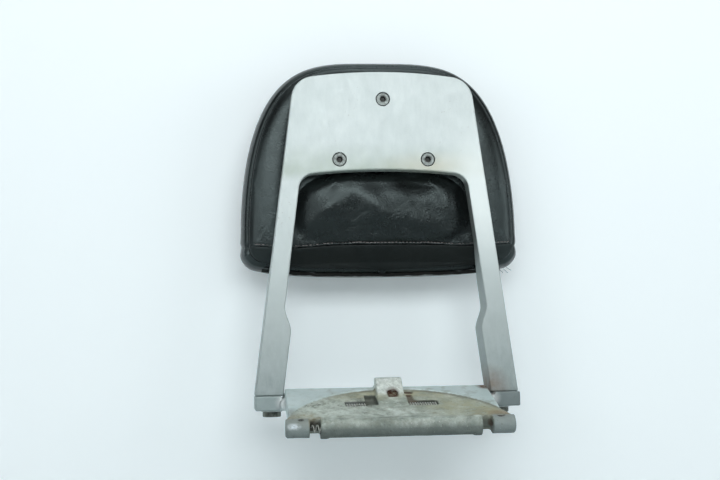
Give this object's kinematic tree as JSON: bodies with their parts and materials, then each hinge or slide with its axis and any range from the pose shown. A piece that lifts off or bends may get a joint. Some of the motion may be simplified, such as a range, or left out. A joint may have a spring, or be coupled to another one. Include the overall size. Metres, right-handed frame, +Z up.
{
  "type": "motorcycle passenger backrest",
  "caption": "Motorcycle passenger backrest: cast inverted-U frame on a tongue-shaped dock bracket, with a screwed-on black padded cushion.",
  "frame": {"origin": "middle of the bore through the dock bracket's rim", "axes": "+X to the right seen from the tail, along the rim bore; +Y from the tail towards the cushion; +Z up"},
  "size_m": [0.282, 0.1806, 0.3734],
  "materials": {
    "frame_casting": "satin, lightly soiled",
    "bracket_casting": "rough as cast, dirty with brown stains",
    "dark_steel": "black oxide, worn",
    "zinc_steel": "zinc plated, dull",
    "spring_steel": "dull, slightly rusty",
    "screw_steel": "satin",
    "board_wood": "raw plywood",
    "foam": "open-cell foam",
    "cover_leather": "satin, creased",
    "band_leather": "dull, frayed at its edge"
  },
  "bodies": {
    "root": {"backrest_frame": "frame_casting", "dock_bracket": "bracket_casting", "foot_bolt_left": "dark_steel", "foot_bolt_right": "dark_steel", "foot_washer_left": "zinc_steel", "foot_washer_right": "zinc_steel", "latch_spring_left": "spring_steel", "latch_spring_right": "spring_steel", "rim_spring": "spring_steel", "cushion_screw_top": "screw_steel", "cushion_screw_left": "screw_steel", "cushion_screw_right": "screw_steel", "tee_nut_top": "zinc_steel", "tee_nut_left": "zinc_steel", "tee_nut_right": "zinc_steel", "cushion_board": "board_wood", "foam_core": "foam", "rear_foam": "foam", "cover_back_panel": "cover_leather", "cover_side_panel": "cover_leather", "cover_front_panel": "cover_leather", "cover_bottom_band": "band_leather", "cover_bottom_hem": "band_leather"}
  },
  "joints": []
}
